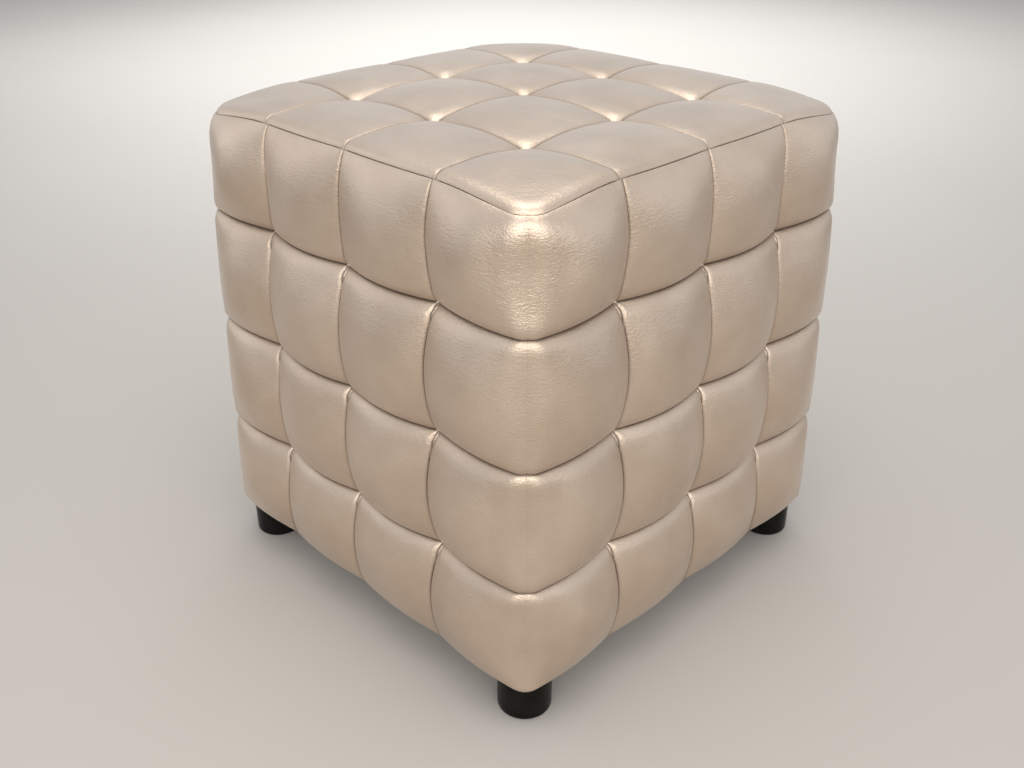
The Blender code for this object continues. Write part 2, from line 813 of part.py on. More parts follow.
def add_stud_cutter():
    """Room for the four hanger bolts, through the dust cover, hems and base board into the posts."""
    high = BASE_TOP + STUD_IN_POST + GAP
    places = list(at_corners(FOOT_REACH).values())
    low = FOOT_HEIGHT
    mesh = cylinder_mesh("stud_holes", STUD_RADIUS + GAP, low, high, places, FASTENER_SIDES)
    return add_cutter("stud_holes", mesh)


def add_dust_cover(stud_cutter):
    """The cloth that closes the underside and laps over the hems."""
    high = COVER_BOTTOM - GAP
    size = (2 * DUST_COVER_HALF, 2 * DUST_COVER_HALF, DUST_COVER_THICKNESS)
    centre = (0.0, 0.0, high - DUST_COVER_THICKNESS / 2)
    mesh = board_mesh("dust_cover", size, centre, CARCASS_RADIUS)
    cut(add_part("dust_cover", mesh, "dust_cloth"), stud_cutter)


clear_scene()
parts = make_collection("tufted_cube_ottoman")
cutters = make_collection("cutters")
materials = {name: make_material(name) for name in MATERIALS}
assembly = bpy.data.objects.new("assembly", None)
parts.objects.link(assembly)

tuft_drills = add_drills()
studs = add_stud_cutter()
add_carcass(tuft_drills, studs)
add_feet()
add_padding(tuft_drills)
add_covers(studs)
add_welt()
add_twines()
add_dust_cover(studs)
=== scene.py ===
"""Looks of the tufted cube ottoman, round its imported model: the leatherette cover with its folds, seams
and grain, the padding beneath it, and finished feet, boards, twine and fasteners.

Metres, +Z up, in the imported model's frame: the front faces -Y and the floor is at height 0.
"""

import math
from collections import namedtuple

import bmesh
import bpy
import numpy as np
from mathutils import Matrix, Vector


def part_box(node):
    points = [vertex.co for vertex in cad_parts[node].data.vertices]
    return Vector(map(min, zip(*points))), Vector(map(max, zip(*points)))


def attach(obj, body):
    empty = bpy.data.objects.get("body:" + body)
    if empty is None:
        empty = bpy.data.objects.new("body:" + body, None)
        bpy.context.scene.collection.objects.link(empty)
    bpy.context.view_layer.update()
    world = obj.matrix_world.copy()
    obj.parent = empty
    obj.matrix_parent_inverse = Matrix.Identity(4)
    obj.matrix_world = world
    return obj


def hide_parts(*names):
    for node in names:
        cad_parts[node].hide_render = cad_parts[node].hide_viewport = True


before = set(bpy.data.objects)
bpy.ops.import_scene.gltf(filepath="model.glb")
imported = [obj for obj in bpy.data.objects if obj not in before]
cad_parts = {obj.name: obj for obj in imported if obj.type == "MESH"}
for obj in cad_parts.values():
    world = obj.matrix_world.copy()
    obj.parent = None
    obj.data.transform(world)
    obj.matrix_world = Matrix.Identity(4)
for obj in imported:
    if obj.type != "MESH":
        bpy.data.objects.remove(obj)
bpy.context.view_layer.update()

MM = 0.001
ROUNDING = 1e-9  # lengths below this are 0

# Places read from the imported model.
WELT_RADIUS = 1.5 * MM
TWINE_RADIUS = 0.6 * MM
CARCASS_DEPTH = 16.5 * MM  # from the cover's nominal side plane to the carcass
WELT_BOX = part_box("top_welt")
TWINE_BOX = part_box("front_tufting_twine")
SEAM_HEIGHT = round(WELT_BOX[1].z - WELT_RADIUS, 4)
SEAM_HALF = round(WELT_BOX[1].x - WELT_RADIUS, 4)
TOP_BOARD_TOP = round(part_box("top_board")[1].z, 4)
CARCASS = round(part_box("top_board")[1].x, 4)
HALF = CARCASS + CARCASS_DEPTH
COVER_BOTTOM = round(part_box("front_cover")[0].z, 4)
LOW_TUFT = round(TWINE_BOX[0].z + TWINE_RADIUS, 4)
HIGH_TUFT = round(TWINE_BOX[1].z - TWINE_RADIUS, 4)
TUFT_REACH = 100 * MM  # from a face's middle to its outer tufts

# The shape of the covered body.
SIDE_SLOPE = 0.020  # how far a side leans in over a height of 1
TOP_ROW_INSET = 3.0 * MM  # how much further in the top row stands
SHOULDER_INSET = 4.2 * MM  # how far a side rolls in to the seam
SHOULDER_HEIGHT = 24 * MM
CORNER_RADIUS = 17 * MM  # of the seam at its corners
CORNER_DIP = 8.0 * MM  # how far the seam drops at its corners
CORNER_DIP_REACH = 75 * MM
CORNER_DIP_POWER = 1.5
CREASE_CORNER_RADIUS = 12 * MM  # of the upright corners at the level creases
PILLOW_CORNER_RADIUS = 25 * MM  # and at the fullest part of the pillows
PILLOW_CORNER_POWER = 0.7
TOP_PILLOW_SHARE = 0.75  # the top row's corner pillow is this far through its arch at the seam
SEAM_CORNER_REACH = 45 * MM  # under the seam, within which the upright corners take its radius
CARCASS_RADIUS = 6 * MM
TURN_RADIUS = 5 * MM  # of the cover round the base's edge
HEM_WIDTH = 40 * MM
HEM_ROWS, TURN_ROWS = 8, 10
TIGHT_RADIUS = 1 * MM  # the least that a layer's corners have

# Layers, measured inwards from the cover's outer face.
GAP = 0.3 * MM
COVER_THICKNESS = 1.2 * MM
WADDING_OUTER = COVER_THICKNESS + GAP
WADDING_INNER = WADDING_OUTER + 3.0 * MM
FOAM_OUTER = WADDING_INNER + GAP
PAD_MARGIN = 3.0 * MM  # by which the top's padding stops short of the sides' padding
MITRE_GAP = 0.01 * MM  # between two sides' layers at an upright corner
PAD_BOTTOM = COVER_BOTTOM + TURN_RADIUS + GAP
WADDING_TOP = SEAM_HEIGHT - 2.8 * MM
SIDE_BOTTOM = COVER_BOTTOM + TURN_RADIUS + 0.6 * MM  # of the cover's upright part
SIDE_TOP = SEAM_HEIGHT - 1.0 * MM
TOP_EDGE = SEAM_HEIGHT + 4.6 * MM

# Relief of the tufting.
# depth, crown: how deep the crossings of the creases are drawn in, and how much less at a face's middle
# notch, swell: how far a panel's edge is drawn in where a crease meets it, and bulges in between
# crease_rise: how far a crease rises between two crossings
# roll_height, roll_share: height of the roll beside a crease, and the share lost half way along it
# dome, power: how far a pillow's middle rises further, and how round it is: below 1 is fuller
Tufting = namedtuple(
    "Tufting", "depth crown notch swell crease_rise roll_height roll_share dome power"
)
SIDE_TUFTING = Tufting(
    depth=8.6 * MM,
    crown=10.4 * MM,
    notch=1.6 * MM,
    swell=3.2 * MM,
    crease_rise=8.5 * MM,
    roll_height=3.8 * MM,
    roll_share=0.85,
    dome=0.4 * MM,
    power=0.85,
)
TOP_TUFTING = Tufting(
    depth=6.8 * MM,
    crown=9.8 * MM,
    notch=0.0,
    swell=0.0,
    crease_rise=3.4 * MM,
    roll_height=5.0 * MM,
    roll_share=0.12,
    dome=-3.4 * MM,
    power=0.80,
)
CORNER_POWER = 1.3  # of a side's pillows towards the upright corners
CORNER_CREASE_SHARE = 0.6  # of crease_rise, for the creases of a side's end columns and top row
ROLL_WIDTH = 12.0 * MM
ROLL_POWER = 2.4
UPRIGHT_ROLL_WIDTH = 5.0 * MM  # beside a side's upright creases, which are drawn in less
UPRIGHT_ROLL_SHARE = 0.10  # of the roll's height, lost at those creases
SEAM_FADE = 10 * MM  # under the top seam, within which the upright creases get shallow
SEAM_CREASE_SHARE = 0.25  # of their depth that is left at the seam
EDGE_FADE = 35 * MM  # the same for the top's creases towards its edges
EDGE_CREASE_SHARE = 0.1
SEAM_NOTCH = 0.4 * MM  # at the top seam, in place of the sides' notch and swell
SEAM_SWELL = 1.4 * MM
CALM_EDGE = 25 * MM  # along a panel's edges, within which it gets even
LOOSE_REACH = 20 * MM  # from a crease to where the cover is loose
UNEVENNESS = ((0.70 * MM, 62 * MM), (0.25 * MM, 24 * MM), (0.10 * MM, 9 * MM))  # height, size

# The top panel's edge, which rolls over to the seam.
LIP_DROP = 5.0 * MM
LIP_WIDTH = 7.0 * MM
LIP_REACH = 1.1 * MM  # how far it stands over the seam
LIP_FADE = 10 * MM  # from a corner, within which the seam closes up

# Folds and gathers of the cover.
SLIT_DEPTH = 1.2 * MM  # of the line between two pillows
SLIT_WIDTH = 0.6 * MM
PAINTED_SHADE_WIDTH = 0.85 * MM  # over which the painted shade inside a fold fades
UPRIGHT_SLIT = 1.3  # how much deeper the upright slits are
PLEAT_WIDTH = 1.7 * MM  # of the thin pleat just under a tuft
PLEAT_HEIGHT = 0.9 * MM
PLEAT_START = 0.5 * MM  # over the tuft
PLEAT_DROP = 6 * MM  # from the tuft to its middle
PLEAT_LENGTH = 6.5 * MM
PLEAT_ROUND = 0.8  # of its width, over which it rounds off
CORNER_GROOVE = 0.05 * MM  # along the sewn upright corners
CORNER_GROOVE_WIDTH = 0.7 * MM
CORNER_LIFT = 0.6 * MM  # of a side's top edge at its ends, which closes the seam there
CORNER_LIFT_HEIGHT = 4 * MM
PUCKER_HEIGHT = 0.22 * MM  # of the gathers round a tuft
PUCKER_REACH = 11 * MM
PUCKER_START = 2 * MM
PUCKER_WAVES = ((9, 1.0), (14, 0.7), (5, 0.5))  # folds in a full turn, and their share
GATHER_HEIGHT = 0.22 * MM  # of the fine wrinkles under the seam
GATHER_REACH = 24 * MM
GATHER_SPREAD = 16 * MM  # beside a crease, where they are deeper
GATHER_SHARE = 0.35  # of that depth, elsewhere
GATHER_WAVES = ((2.6 * MM, 0.25, 1.0), (5 * MM, 0.30, 0.7))  # size, upright stretch, share
CORNER_RIDGE = (0.5 * MM, 1.8 * MM, 12 * MM)  # height, width and length, at the ends of the seam

# The welt, the feet and the dust cloth.
WELT_TUCK = 2.3 * MM  # how far inside the seam line the cord runs
WELT_STEP = 2.5 * MM
WELT_SQUEEZE = 0.5 * MM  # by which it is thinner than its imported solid
WELT_WANDER = (0.12 * MM, 30 * MM)  # height, size
WELT_LUMPS = (0.08 * MM, 11 * MM)
FOOT_TOP_ROUND = 1.0 * MM
FOOT_BOTTOM_ROUND = 3.0 * MM
FOOT_WALL_LOW = 3.4 * MM  # the straight wall's end, just over the bottom round
FOOT_SIDES = 96
FOOT_RIM = 6.0 * MM  # from the wall to the hollow of the sole
FOOT_RIM_SLOPE = 1.0 * MM
FOOT_HOLLOW = 0.8 * MM
CLOTH_HOLD = 12 * MM  # along the dust cloth's edges, which lie flat
CLOTH_SLACK_REACH = 60 * MM
CLOTH_SAG = 1.6 * MM
CLOTH_RIPPLE = (0.5 * MM, 30 * MM)  # height, size

# Where points go across a panel: the step at a crease, its growth away from it, and the largest step.
FINE = (0.35 * MM, 1.3, 3.9 * MM)
COARSE = (1.0 * MM, 1.6, 8.0 * MM)
CLOTH = (2.0 * MM, 1.3, 3.9 * MM)

COVER_SHARP = math.radians(75)  # edges at least this sharp aren't smoothed
FOOT_SHARP = math.radians(40)

SEEDS = {"front": 1, "right": 11, "back": 21, "left": 31, "top": 51, "welt": 71, "cloth": 91}

COLUMN_LINES = np.array([-HALF, -TUFT_REACH, 0.0, TUFT_REACH, HALF])
TOP_LINES = np.array([-SEAM_HALF, -TUFT_REACH, 0.0, TUFT_REACH, SEAM_HALF])
ROW_LINES = np.array([COVER_BOTTOM, LOW_TUFT, (LOW_TUFT + HIGH_TUFT) / 2, HIGH_TUFT, SEAM_HEIGHT])
FACES = {"front": 0, "right": 90, "back": 180, "left": 270}


# Camera, lights and floor.


def aim(obj, place, direction):
    """Stands a camera or light at a place, looking along a direction."""
    obj.location = place
    obj.rotation_mode = "QUATERNION"
    obj.rotation_quaternion = direction.to_track_quat("-Z", "Y")
    bpy.context.scene.collection.objects.link(obj)


def add_camera():
    """The camera stands before the corner between front and right, above the top's height."""
    data = bpy.data.cameras.new("camera")
    data.sensor_width = 36.0
    data.lens = 37.758
    data.clip_end = 60.0
    camera = bpy.data.objects.new("camera", data)
    aim(camera, (0.6281, -0.6428, 0.6505), Vector((-0.6211, 0.6215, -0.4775)))
    bpy.context.scene.camera = camera


def add_softbox(name, place, target, size, power, colour=(1.0, 1.0, 1.0), spread=180):
    data = bpy.data.lights.new(name, "AREA")
    data.shape = "RECTANGLE"
    data.size, data.size_y = size
    data.energy = power
    data.color = colour
    data.spread = math.radians(spread)
    light = bpy.data.objects.new(name, data)
    aim(light, place, Vector(target) - Vector(place))


def add_studio():
    world = bpy.data.worlds.new("studio")
    world.use_nodes = True
    background = world.node_tree.nodes["Background"]
    background.inputs["Color"].default_value = (0.95, 1.0, 1.08, 1.0)
    background.inputs["Strength"].default_value = 0.74
    bpy.context.scene.world = world
    middle, upper = (0.0, 0.0, 0.25), (0.0, 0.0, 0.3)
    cool = (0.95, 1.0, 1.06)
    add_softbox("overhead", (0.15, -0.15, 1.8), middle, (1.2, 1.2), 13.0)
    add_softbox("wide_front", (1.5, -1.5, 1.3), upper, (3.4, 1.2), 33.0)
    add_softbox("low_front", (1.7, -1.7, 0.9), upper, (2.4, 0.9), 5.0)
    add_softbox("left_fill", (-1.9, -1.2, 1.1), middle, (1.2, 1.6), 3.0)
    add_softbox("right_fill", (1.6, 1.7, 1.1), middle, (1.2, 1.6), 1.6, cool)
    add_softbox("right_front", (2.2, 0.2, 0.9), (0.0, 0.0, 0.35), (1.6, 1.0), 0.6, spread=110)
    add_softbox("near_wash", (-1.0, 1.0, 1.7), (-1.0, 1.0, 0.0), (1.6, 1.6), 0.8, cool, 80)
    add_softbox("floor_wash", (-1.7, 1.7, 1.9), (-1.7, 1.7, 0.0), (2.4, 2.4), 31.5, cool, 78)
    bpy.context.scene.view_settings.view_transform = "Standard"


def add_floor():
    form = bmesh.new()
    bmesh.ops.create_grid(form, x_segments=8, y_segments=8, size=15.0)
    mesh = bpy.data.meshes.new("floor")
    form.to_mesh(mesh)
    form.free()
    floor = bpy.data.objects.new("floor", mesh)
    bpy.context.scene.collection.objects.link(floor)
    mesh.materials.append(MATERIALS["floor"])


# Materials.


class Nodes:
    """A material's node tree, with short calls for making and joining nodes."""

    def __init__(self, name):
        self.material = bpy.data.materials.new(name)
        self.material.use_nodes = True
        self.tree = self.material.node_tree
        self.shader = self.tree.nodes["Principled BSDF"]
        self.place = self.make("ShaderNodeTexCoord").outputs["Object"]

    def make(self, kind, **settings):
        node = self.tree.nodes.new(kind)
        for key, value in settings.items():
            setattr(node, key, value)
        return node

    def join(self, source, target):
        """Puts a socket or a plain value into an input."""
        if isinstance(source, bpy.types.NodeSocket):
            self.tree.links.new(source, target)
        else:
            target.default_value = source

    def mapped(self, scale):
        node = self.make("ShaderNodeMapping")
        self.join(self.place, node.inputs["Vector"])
        node.inputs["Scale"].default_value = scale
        return node.outputs["Vector"]

    def noise(self, scale, detail=2.0, roughness=0.5, vector=None, distortion=0.0):
        node = self.make("ShaderNodeTexNoise")
        self.join(vector or self.place, node.inputs["Vector"])
        node.inputs["Scale"].default_value = scale
        node.inputs["Detail"].default_value = detail
        node.inputs["Roughness"].default_value = roughness
        node.inputs["Distortion"].default_value = distortion
        return node.outputs["Fac"]

    def cells(self, scale):
        node = self.make("ShaderNodeTexVoronoi")
        self.join(self.place, node.inputs["Vector"])
        node.inputs["Scale"].default_value = scale
        return node.outputs["Distance"]

    def waves(self, scale, distortion, vector=None, direction="X"):
        node = self.make("ShaderNodeTexWave", bands_direction=direction)
        self.join(vector or self.place, node.inputs["Vector"])
        node.inputs["Scale"].default_value = scale
        node.inputs["Distortion"].default_value = distortion
        node.inputs["Detail"].default_value = 3.0
        return node.outputs["Fac"]

    def attribute(self, name):
        return self.make("ShaderNodeAttribute", attribute_name=name).outputs["Fac"]

    def spread(self, value, low, high, new_low=0.0, new_high=1.0):
        node = self.make("ShaderNodeMapRange")
        self.join(value, node.inputs["Value"])
        for key, number in (
            ("From Min", low),
            ("From Max", high),
            ("To Min", new_low),
            ("To Max", new_high),
        ):
            node.inputs[key].default_value = number
        return node.outputs["Result"]

    def maths(self, operation, first, second=0.0, third=0.0):
        node = self.make("ShaderNodeMath", operation=operation)
        for value, target in zip((first, second, third), node.inputs):
            self.join(value, target)
        return node.outputs[0]

    def blend(self, share, first, second):
        node = self.make("ShaderNodeMix", data_type="RGBA")
        self.join(share, node.inputs[0])
        for value, target in ((first, node.inputs[6]), (second, node.inputs[7])):
            self.join(value if isinstance(value, bpy.types.NodeSocket) else (*value, 1.0), target)
        return node.outputs[2]

    def bump(self, height, distance, strength=1.0):
        node = self.make("ShaderNodeBump")
        self.join(height, node.inputs["Height"])
        node.inputs["Distance"].default_value = distance
        node.inputs["Strength"].default_value = strength
        return node.outputs["Normal"]

    def finish(self, colour, roughness, normal=None, **inputs):
        self.join(colour, self.shader.inputs["Base Color"])
        self.join(roughness, self.shader.inputs["Roughness"])
        if normal is not None:
            self.join(normal, self.shader.inputs["Normal"])
        for key, value in inputs.items():
            self.join(value, self.shader.inputs[key.replace("_", " ")])
        return self.material


def leatherette(name, lift=1.0):
    """Pearl-finished leatherette: fine pebble grain and faint stretch lines, with painted shade darkening
    its folds.
    """
    n = Nodes(name)
    pale = tuple(lift * part for part in (0.612, 0.490, 0.380))
    warm = tuple(lift * part for part in (0.545, 0.425, 0.320))
    mottle = n.spread(n.noise(scale=14.0, detail=4.0, roughness=0.6), 0.35, 0.65)
    colour = n.blend(mottle, warm, pale)
    speck = n.spread(n.noise(scale=900.0), 0.55, 0.75, new_low=0.0, new_high=0.25)
    colour = n.blend(speck, colour, (0.68, 0.58, 0.49))
    # how near a crease a place is: it drives the painted shade in the folds and a rougher finish there
    painted_shade_mask = n.attribute("painted_shade_mask")
    # painted shade: the colour goes dark brown in the creases and just beside them
    colour = n.blend(n.maths("MULTIPLY", painted_shade_mask, 0.85), colour, (0.110, 0.074, 0.050))
    pebble = n.cells(scale=900.0)
    stretched = n.mapped((230.0, 230.0, 620.0))
    stretch = n.noise(scale=1.0, roughness=0.55, vector=stretched)
    grain = n.maths("MULTIPLY_ADD", stretch, 2.2, pebble)
    normal = n.bump(grain, distance=0.17 * MM, strength=0.65)
    rough = n.spread(n.noise(scale=30.0, detail=4.0), 0.3, 0.7, new_low=0.36, new_high=0.46)
    rough = n.maths("ADD", rough, n.maths("MULTIPLY", painted_shade_mask, 0.15))
    return n.finish(
        colour,
        rough,
        normal,
        Metallic=0.85,
        Specular_IOR_Level=0.55,
        Coat_Weight=0.12,
        Coat_Roughness=0.30,
        Sheen_Weight=0.10,
        Sheen_Roughness=0.40,
    )


def black_plastic():
    n = Nodes("black_plastic")
    mottle = n.spread(n.noise(scale=80.0, detail=3.0), 0.4, 0.6)
    colour = n.blend(mottle, (0.004, 0.003, 0.002), (0.007, 0.006, 0.005))
    scuff = n.noise(scale=1.0, detail=4.0, roughness=0.6, vector=n.mapped((900.0, 900.0, 40.0)))
    normal = n.bump(n.noise(scale=1400.0), distance=0.05 * MM, strength=0.35)
    rough = n.spread(scuff, 0.35, 0.70, new_low=0.24, new_high=0.40)
    return n.finish(colour, rough, normal, Specular_IOR_Level=0.12)


def fibrous(name, dark, pale, scale, height):
    """Wadding or nonwoven cloth: matted fibres."""
    n = Nodes(name)
    threads = n.noise(scale=scale, detail=6.0, roughness=0.7, distortion=1.5)
    colour = n.blend(n.spread(threads, 0.35, 0.65), dark, pale)
    normal = n.bump(threads, distance=height, strength=0.6)
    return n.finish(colour, 0.95, normal, Sheen_Weight=0.4)


def twine():
    n = Nodes("twine")
    strands = n.waves(scale=260.0, distortion=2.0, direction="DIAGONAL")
    colour = n.blend(strands, (0.62, 0.57, 0.48), (0.84, 0.80, 0.72))
    return n.finish(colour, 0.85, n.bump(strands, distance=0.3 * MM, strength=0.8))


def foam():
    n = Nodes("foam")
    pores = n.spread(n.cells(scale=620.0), 0.0, 0.55)
    aged = n.spread(n.noise(scale=9.0, detail=3.0), 0.3, 0.7)
    colour = n.blend(aged, (0.82, 0.75, 0.52), (0.88, 0.84, 0.66))
    # painted shade: the foam's colour goes darker in the hollows of its pores
    depth = n.spread(pores, 0.0, 0.4, new_low=0.4, new_high=0.0)
    colour = n.blend(depth, colour, (0.60, 0.52, 0.33))
    return n.finish(colour, 0.95, n.bump(pores, distance=0.4 * MM, strength=0.7))


def wood(name, dark, pale, rings, plies=False):
    """Grain along X, and for plywood the plies' edges, which show as bands up its height."""
    n = Nodes(name)
    along = n.mapped((9.0, 130.0, 130.0))
    grain = n.noise(scale=1.0, detail=5.0, roughness=0.6, vector=along, distortion=0.8)
    figure = n.waves(rings, distortion=5.0, vector=n.mapped((0.35, 1.0, 1.0)), direction="Y")
    colour = n.blend(n.spread(grain, 0.3, 0.7), dark, pale)
    colour = n.blend(n.maths("MULTIPLY", figure, 0.35), colour, dark)
    if plies:
        band = n.waves(scale=130.0, distortion=0.3, direction="Z")
        colour = n.blend(n.maths("MULTIPLY", band, 0.30), colour, dark)
    pores = n.noise(scale=1.0, detail=3.0, vector=n.mapped((60.0, 1500.0, 1500.0)))
    rough = n.spread(grain, 0.2, 0.8, new_low=0.55, new_high=0.75)
    return n.finish(colour, rough, n.bump(pores, distance=0.2 * MM, strength=0.5))


def steel():
    n = Nodes("steel")
    brushed = n.noise(scale=1.0, detail=3.0, vector=n.mapped((300.0, 300.0, 2400.0)))
    stain = n.spread(n.noise(scale=220.0, detail=4.0), 0.45, 0.70)
    colour = n.blend(stain, (0.62, 0.62, 0.60), (0.50, 0.47, 0.40))
    normal = n.bump(brushed, distance=0.05 * MM, strength=0.5)
    rough = n.spread(brushed, 0.3, 0.7, new_low=0.25, new_high=0.42)
    return n.finish(colour, rough, normal, Metallic=1.0)


def floor_finish():
    n = Nodes("floor")
    cloudy = n.spread(n.noise(scale=0.8, detail=3.0), 0.3, 0.7)
    colour = n.blend(cloudy, (0.436, 0.396, 0.350), (0.456, 0.416, 0.368))
    normal = n.bump(n.noise(scale=300.0), distance=0.05 * MM, strength=0.2)
    return n.finish(colour, 0.60, normal, Specular_IOR_Level=0.2)


MATERIALS = {
    "leatherette": leatherette("leatherette"),
    "welt_leatherette": leatherette("welt_leatherette", lift=1.06),
    "wadding": fibrous(
        "wadding", (0.78, 0.78, 0.76), (0.92, 0.92, 0.90), scale=420.0, height=0.5 * MM
    ),
    "foam": foam(),
    "twine": twine(),
    "plywood": wood("plywood", (0.46, 0.32, 0.18), (0.68, 0.52, 0.34), rings=60.0, plies=True),
    "pine": wood("pine", (0.58, 0.38, 0.20), (0.78, 0.62, 0.42), rings=35.0),
    "black_plastic": black_plastic(),
    "steel": steel(),
    "dust_cloth": fibrous(
        "dust_cloth", (0.012, 0.012, 0.012), (0.045, 0.045, 0.045), scale=700.0, height=0.2 * MM
    ),
    "floor": floor_finish(),
}


# The relief of the tufted panels, worked out for whole grids of places at once.


def smooth_noise(x, y, size, seed):
    """Smooth random heights from -1 to 1 that change over about one size."""
    values = np.random.default_rng(seed).uniform(-1.0, 1.0, (64, 64))
    u, v = np.asarray(x) / size + 20.3, np.asarray(y) / size + 20.7
    i, j = np.floor(u).astype(int), np.floor(v).astype(int)
    u, v = u - i, v - j
    u, v = u * u * (3 - 2 * u), v * v * (3 - 2 * v)
    i, j = i % 63, j % 63
    low = values[i, j] * (1 - u) + values[i + 1, j] * u
    high = values[i, j + 1] * (1 - u) + values[i + 1, j + 1] * u
    return low * (1 - v) + high * v


def node_levels(form):
    """Heights of the crease crossings over a face's nominal plane, by column line and row line."""
    wave = np.sin(np.pi * np.arange(5) / 4)
    levels = form.crown * np.outer(wave, wave) - form.depth
    levels[[0, 4], :] = -form.notch
    levels[:, 0] = -form.notch
    levels[:, 4] = -min(form.notch, SEAM_NOTCH)
    return levels


def in_cell(lines, place):
    """Which cell a place is in, and how far across it is."""
    cell = np.clip(np.searchsorted(lines, place, side="right") - 1, 0, 3)
    return cell, np.clip((place - lines[cell]) / (lines[cell + 1] - lines[cell]), 0.0, 1.0)


def arch(share, power):
    return np.clip(np.sin(np.pi * share), 0.0, None) ** power


def roll(distance, width):
    """0 on a crease and 1 from that width on, steepest at the crease."""
    return 1 - (1 - np.clip(distance / width, 0.0, 1.0)) ** ROLL_POWER


def to_nearest(lines, place):
    return np.min(np.abs(place[..., None] - lines), axis=-1)


def crease(first, last, share, arched, rise):
    """Height along a crease between the crossings at its two ends."""
    return first * (1 - share) + last * share + rise * arched


def roll_left(x, y, lines, form, arch_s, arch_t):
    """How much of the rolls' height a place has. Beside a crease the cover turns down into it."""
    across = to_nearest(lines[0][1:4], x)
    up = to_nearest(lines[1][1:4], y)
    beside_level = (1 - (1 - form.roll_share) * arch_s) * (1 - roll(up, ROLL_WIDTH))
    if form is SIDE_TUFTING:
        under_seam = np.clip((lines[1][4] - y) / SEAM_FADE, SEAM_CREASE_SHARE, 1.0)
        beside_upright = UPRIGHT_ROLL_SHARE * under_seam * (1 - roll(across, UPRIGHT_ROLL_WIDTH))
        return (1 - beside_upright) * (1 - beside_level)
    from_side = np.clip((lines[0][4] - np.abs(x)) / EDGE_FADE, EDGE_CREASE_SHARE, 1.0)
    from_end = np.clip((lines[1][4] - np.abs(y)) / EDGE_FADE, EDGE_CREASE_SHARE, 1.0)
    beside_upright = (1 - (1 - form.roll_share) * arch_t) * (1 - roll(across, ROLL_WIDTH))
    return (1 - from_end * beside_upright) * (1 - from_side * beside_level)


def tufted(x, y, lines, form):
    """The pillows' height: each cell is a patch between its four crease arcs."""
    levels = node_levels(form)
    on_side = form is SIDE_TUFTING
    column, s = in_cell(lines[0], x)
    row, t = in_cell(lines[1], y)
    by_corner = ((column == 0) & (s < 0.5)) | ((column == 3) & (s > 0.5))
    arch_s = arch(s, np.where(by_corner & on_side, CORNER_POWER, form.power))
    arch_t = arch(t, form.power)
    straighter = (1 - CORNER_CREASE_SHARE) * form.crease_rise if on_side else 0.0
    less_at_end = np.where((column == 0) | (column == 3), straighter, 0.0)
    less_at_top = np.where(row == 3, straighter, 0.0)
    level_rise = form.crease_rise - less_at_end
    upright_rise = form.crease_rise - less_at_top
    top_swell = min(form.swell, SEAM_SWELL)

    (c00, c01), (c10, c11) = ([levels[column + i, row + j] for j in (0, 1)] for i in (0, 1))
    low = crease(c00, c10, s, arch_s, np.where(row == 0, form.swell, level_rise))
    high = crease(c01, c11, s, arch_s, np.where(row == 3, top_swell, level_rise))
    near = crease(c00, c01, t, arch_t, np.where(column == 0, form.swell, upright_rise))
    far = crease(c10, c11, t, arch_t, np.where(column == 3, form.swell, upright_rise))
    flat = (c00 * (1 - s) + c10 * s) * (1 - t) + (c01 * (1 - s) + c11 * s) * t
    patch = low * (1 - t) + high * t + near * (1 - s) + far * s - flat
    rolls = form.roll_height * (roll_left(x, y, lines, form, arch_s, arch_t) - 1)
    fullness = form.dome + form.roll_height + less_at_end + less_at_top
    return patch + rolls + fullness * arch_s * arch_t


def calm_at_edges(x, y, lines):
    """1 inside a panel and 0 along its edges, so that neighbouring panels meet."""
    inside = np.minimum(x - lines[0][0], lines[0][4] - x)
    inside = np.minimum(inside, np.minimum(y - lines[1][0], lines[1][4] - y))
    return np.clip(inside / CALM_EDGE, 0.0, 1.0)


def unevenness(x, y, lines, seed):
    """How hand-filled pillows differ, and the slack that is left in the cover between tufts."""
    across = to_nearest(lines[0][1:4], x)
    up = to_nearest(lines[1][1:4], y)
    loose = roll(across, LOOSE_REACH) * roll(up, LOOSE_REACH)
    waves = sum(
        height * smooth_noise(x, y, size, seed + number)
        for number, (height, size) in enumerate(UNEVENNESS)
    )
    return calm_at_edges(x, y, lines) * loose * waves


def puckers(x, y, lines, seed):
    """Short gathers that run out from each tuft."""
    draw = np.random.default_rng(seed)
    total = np.zeros_like(x)
    for centre_x in lines[0][1:4]:
        for centre_y in lines[1][1:4]:
            turns = draw.uniform(0, 2 * np.pi, len(PUCKER_WAVES))
            reach = np.hypot(x - centre_x, y - centre_y)
            angle = np.arctan2(y - centre_y, x - centre_x)
            folds = sum(
                share * np.cos(count * angle + turn)
                for (count, share), turn in zip(PUCKER_WAVES, turns)
            )
            near = np.exp(-((reach / PUCKER_REACH) ** 2)) * reach / (reach + PUCKER_START)
            total += PUCKER_HEIGHT * near * folds
    return total


def gathers(x, z, seed):
    """Fine short wrinkles of a side's cover under the seam, deeper where a crease ends there, and the
    ridge that its ends press up at the seam's corners."""
    below = np.clip((SEAM_HEIGHT - z) / GATHER_REACH, 0.0, 1.0)
    by_crease = np.exp(-((to_nearest(COLUMN_LINES, x) / GATHER_SPREAD) ** 2))
    fine = sum(
        share * smooth_noise(x, stretch * z, size, seed + number)
        for number, (size, stretch, share) in enumerate(GATHER_WAVES, len(UNEVENNESS))
    )
    height, width, length = CORNER_RIDGE
    ridge = np.exp(-(((HALF - np.abs(x)) / width) ** 2) - ((SEAM_HEIGHT - z) / length) ** 2)
    wrinkles = GATHER_HEIGHT * (1 - below) ** 1.5 * (GATHER_SHARE + by_crease) * fine
    return wrinkles + height * ridge


